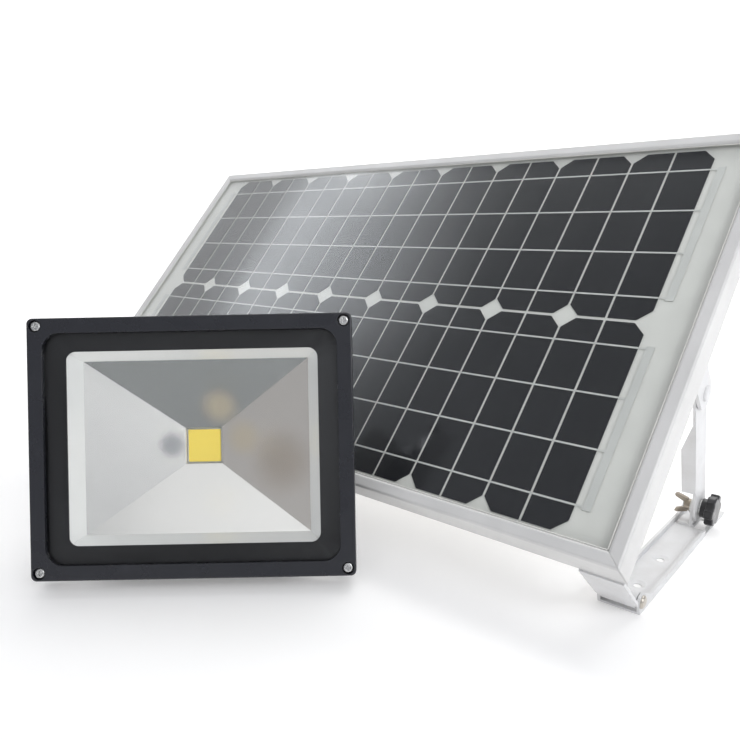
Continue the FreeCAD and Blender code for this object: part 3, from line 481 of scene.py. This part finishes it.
def floor():
    """A large pale floor that curves up far behind the object."""
    profile = [(FLOOR_FRONT, 0.0)]
    for i in range(BEND_STEPS + 1):
        turn = math.radians(90 * i / BEND_STEPS)
        profile.append((BEND_START + BEND_RADIUS * math.sin(turn),
                        BEND_RADIUS - BEND_RADIUS * math.cos(turn)))
    profile.append((BEND_START + BEND_RADIUS, WALL_TOP))
    mesh = bmesh.new()
    rows = []
    for y, z in profile:
        rows.append([mesh.verts.new((x, y, z)) for x in (-FLOOR_HALF_WIDTH, FLOOR_HALF_WIDTH)])
    for near, far in zip(rows, rows[1:]):
        mesh.faces.new((near[0], near[1], far[1], far[0])).smooth = True
    data = bpy.data.meshes.new("floor")
    mesh.to_mesh(data)
    mesh.free()
    obj = bpy.data.objects.new("floor", data)
    obj.rotation_euler = (0, 0, TURN)
    bpy.context.scene.collection.objects.link(obj)
    data.materials.append(stage_material())


def softbox(name, place, aim, size, power, color):
    """A rectangular area light turned towards a point."""
    data = bpy.data.lights.new(name, "AREA")
    data.shape = "RECTANGLE"
    data.size, data.size_y = size
    data.energy = power
    data.color = color
    obj = bpy.data.objects.new(name, data)
    obj.location = place
    obj.rotation_euler = (Vector(aim) - Vector(place)).to_track_quat("-Z", "Y").to_euler()
    bpy.context.scene.collection.objects.link(obj)


def surroundings():
    """A soft room: pale walls, a dim ceiling, one soft bright window, and a plain white backdrop."""
    t = Tree(bpy.data.worlds.new("room"), "ShaderNodeOutputWorld")
    toward = t.add("ShaderNodeTexCoord").outputs["Generated"]
    height = t.add("ShaderNodeSeparateXYZ")
    t.plug(toward, height.inputs[0])
    walls = t.add("ShaderNodeValToRGB")
    stops = walls.color_ramp.elements
    stops[0].position, stops[0].color = 0.0, (*ROOM_LOW, 1)
    stops[1].position, stops[1].color = CEILING_STOP, (*ROOM_CEILING, 1)
    stops.new(WALL_STOP).color = (*ROOM_WALL, 1)
    t.plug(height.outputs["Z"], walls.inputs[0])
    near_window = t.add("ShaderNodeVectorMath", operation="DOT_PRODUCT")
    near_window.inputs[1].default_value = WINDOW_TOWARD.normalized()
    t.plug(toward, near_window.inputs[0])
    pane = t.ramp(near_window.outputs["Value"], WINDOW_EDGE, 1.0)
    pane.node.interpolation_type = "SMOOTHSTEP"
    light = t.add("ShaderNodeMath", operation="MULTIPLY")
    t.plug(pane, light.inputs[0])
    t.plug(t.noise(toward, 4.0, 2.0), light.inputs[1])
    room = t.add("ShaderNodeBackground")
    t.plug(t.blend(light.outputs[0], walls.outputs[0], WINDOW_GLOW), room.inputs["Color"])
    backdrop = t.add("ShaderNodeBackground")
    backdrop.inputs["Color"].default_value = (*BACKDROP, 1)
    seen = t.add("ShaderNodeMixShader")
    t.plug(t.add("ShaderNodeLightPath").outputs["Is Camera Ray"], seen.inputs[0])
    t.plug(room.outputs[0], seen.inputs[1])
    t.plug(backdrop.outputs[0], seen.inputs[2])
    t.plug(seen.outputs[0], t.out.inputs["Surface"])
    bpy.context.scene.world = t.owner


def camera():
    """The picture's viewing angle, with a small vertical shift for its framing."""
    data = bpy.data.cameras.new("camera")
    data.sensor_width = SENSOR
    data.lens = LENS
    data.shift_y = SHIFT_UP
    data.clip_start = 0.01
    obj = bpy.data.objects.new("camera", data)
    turn = Matrix.Rotation(math.radians(CAMERA_TURN), 4, "Z")
    tip = Matrix.Rotation(math.radians(CAMERA_TIP), 4, "X")
    roll = Matrix.Rotation(math.radians(CAMERA_ROLL), 4, "Z")
    obj.matrix_world = Matrix.Translation(CAMERA_AT) @ turn @ tip @ roll
    bpy.context.scene.collection.objects.link(obj)
    bpy.context.scene.camera = obj


materials = make_materials()
dress_cad_nodes(materials)
add_beads(materials)
floor()
surroundings()
for light in LIGHTS:
    softbox(*light)
camera()
bpy.context.scene.view_settings.view_transform = "Standard"
